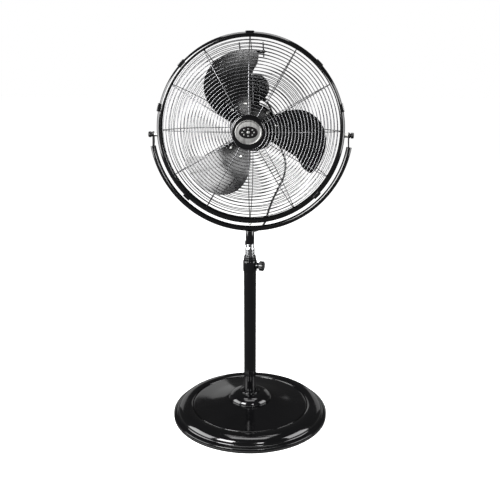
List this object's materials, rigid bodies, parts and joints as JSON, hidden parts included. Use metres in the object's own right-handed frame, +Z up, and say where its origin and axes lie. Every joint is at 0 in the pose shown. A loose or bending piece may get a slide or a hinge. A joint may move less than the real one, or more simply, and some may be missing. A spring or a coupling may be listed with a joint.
{
  "type": "pedestal fan",
  "caption": "Free-standing caged fan on a telescopic pole with a round weighted base, a half-ring yoke and a tilting head.",
  "frame": {"origin": "centre of the round base, on the floor", "axes": "+Z up along the pole, -Y out of the front of the fan, X along the tilt axis"},
  "size_m": [0.5956, 0.49, 1.1742],
  "materials": {
    "black_paint": "gloss",
    "ballast": "rough",
    "black_rubber": "matt",
    "zinc_steel": "satin",
    "black_plastic": "satin",
    "chrome_tube": "polished",
    "wire_chrome": "dark chrome",
    "blade_paint": "high gloss",
    "motor_paint": "satin",
    "core_steel": "laminated",
    "copper": "enamelled copper wire",
    "bronze": "sintered",
    "silver_badge": "satin",
    "badge_black": "gloss",
    "switch_plastic": "matt",
    "cord_rubber": "satin",
    "brass_pins": "bright"
  },
  "bodies": {
    "base": {"base_dish": "black_paint", "base_ballast": "ballast", "base_edge_trim": "black_rubber", "pole_flange": "black_paint", "flange_bolts": "zinc_steel", "bell_cover": "black_paint", "outer_pole": "black_paint", "collar_bush": "black_plastic", "pole_collar": "black_plastic"},
    "clamp_screw": {"height_knob_grip": "black_plastic", "height_knob_screw": "zinc_steel"},
    "mast": {"inner_pole": "chrome_tube"},
    "yoke": {"yoke_tube": "black_paint", "yoke_straps": "black_paint", "yoke_sleeve": "black_paint", "sleeve_screw": "zinc_steel", "neck_cord": "cord_rubber", "tail_cord": "cord_rubber", "cord_coil": "cord_rubber", "coil_tie": "black_plastic", "plug_body": "cord_rubber", "plug_pins": "brass_pins"},
    "left_knob": {"tilt_knob_left": "black_plastic"},
    "right_knob": {"tilt_knob_right": "black_plastic"},
    "head": {"pivot_fasteners": "zinc_steel", "rim_band": "black_paint", "front_centre_plate": "black_paint", "badge_plate": "silver_badge", "badge_emblem": "badge_black", "guard_clips": "wire_chrome", "rim_clamp_bolt": "zinc_steel", "carry_handle": "black_paint", "front_guard_rings": "wire_chrome", "front_guard_spokes": "wire_chrome", "rear_guard_rings": "wire_chrome", "rear_guard_spokes": "wire_chrome", "motor_front_bell": "motor_paint", "motor_rear_bell": "motor_paint", "motor_bolts": "zinc_steel", "motor_bushes": "bronze", "stator_core": "core_steel", "stator_windings": "copper", "guard_mount_plate": "black_paint", "control_box": "black_plastic", "control_box_lid": "black_plastic", "case_screws": "zinc_steel", "rotary_switch": "switch_plastic", "run_capacitor": "switch_plastic", "strain_relief": "black_rubber", "cage_cord": "cord_rubber", "cord_clip": "black_plastic"},
    "rotor": {"rotor_core": "core_steel", "motor_shaft": "zinc_steel", "blade_spider": "blade_paint", "blade_rivets": "zinc_steel", "hub_nut": "zinc_steel", "fan_blade_1": "blade_paint", "fan_blade_2": "blade_paint", "fan_blade_3": "blade_paint"},
    "switch_knob": {"speed_knob": "black_plastic"}
  },
  "joints": [
    {"name": "height_slide", "type": "slide", "parent": "base", "child": "mast", "axis": [0, 0, 1], "range_m": [0, 0.3]},
    {"name": "clamp_turn", "type": "hinge", "parent": "base", "child": "clamp_screw", "pos_m": [0, 0, 0.496], "axis": [0.9703, -0.2419, 0], "range_deg": [0, 720]},
    {"name": "yoke_swivel", "type": "hinge", "parent": "mast", "child": "yoke", "pos_m": [0, 0, 0.57], "axis": [0, 0, 1], "range_deg": [-180, 180]},
    {"name": "head_tilt", "type": "hinge", "parent": "yoke", "child": "head", "pos_m": [0, 0, 0.888], "axis": [1, 0, 0], "range_deg": [-30, 30]},
    {"name": "left_knob_turn", "type": "hinge", "parent": "head", "child": "left_knob", "pos_m": [-0.29, 0, 0.888], "axis": [-1, 0, 0], "range_deg": [0, 720]},
    {"name": "right_knob_turn", "type": "hinge", "parent": "head", "child": "right_knob", "pos_m": [0.29, 0, 0.888], "axis": [1, 0, 0], "range_deg": [0, 720]},
    {"name": "blade_spin", "type": "hinge", "parent": "head", "child": "rotor", "pos_m": [0, 0, 0.9], "axis": [0, 1, 0], "continuous": true},
    {"name": "speed_turn", "type": "hinge", "parent": "head", "child": "switch_knob", "pos_m": [0.006, 0.158, 1.017], "axis": [0, 1, 0], "range_deg": [0, 135]}
  ]
}
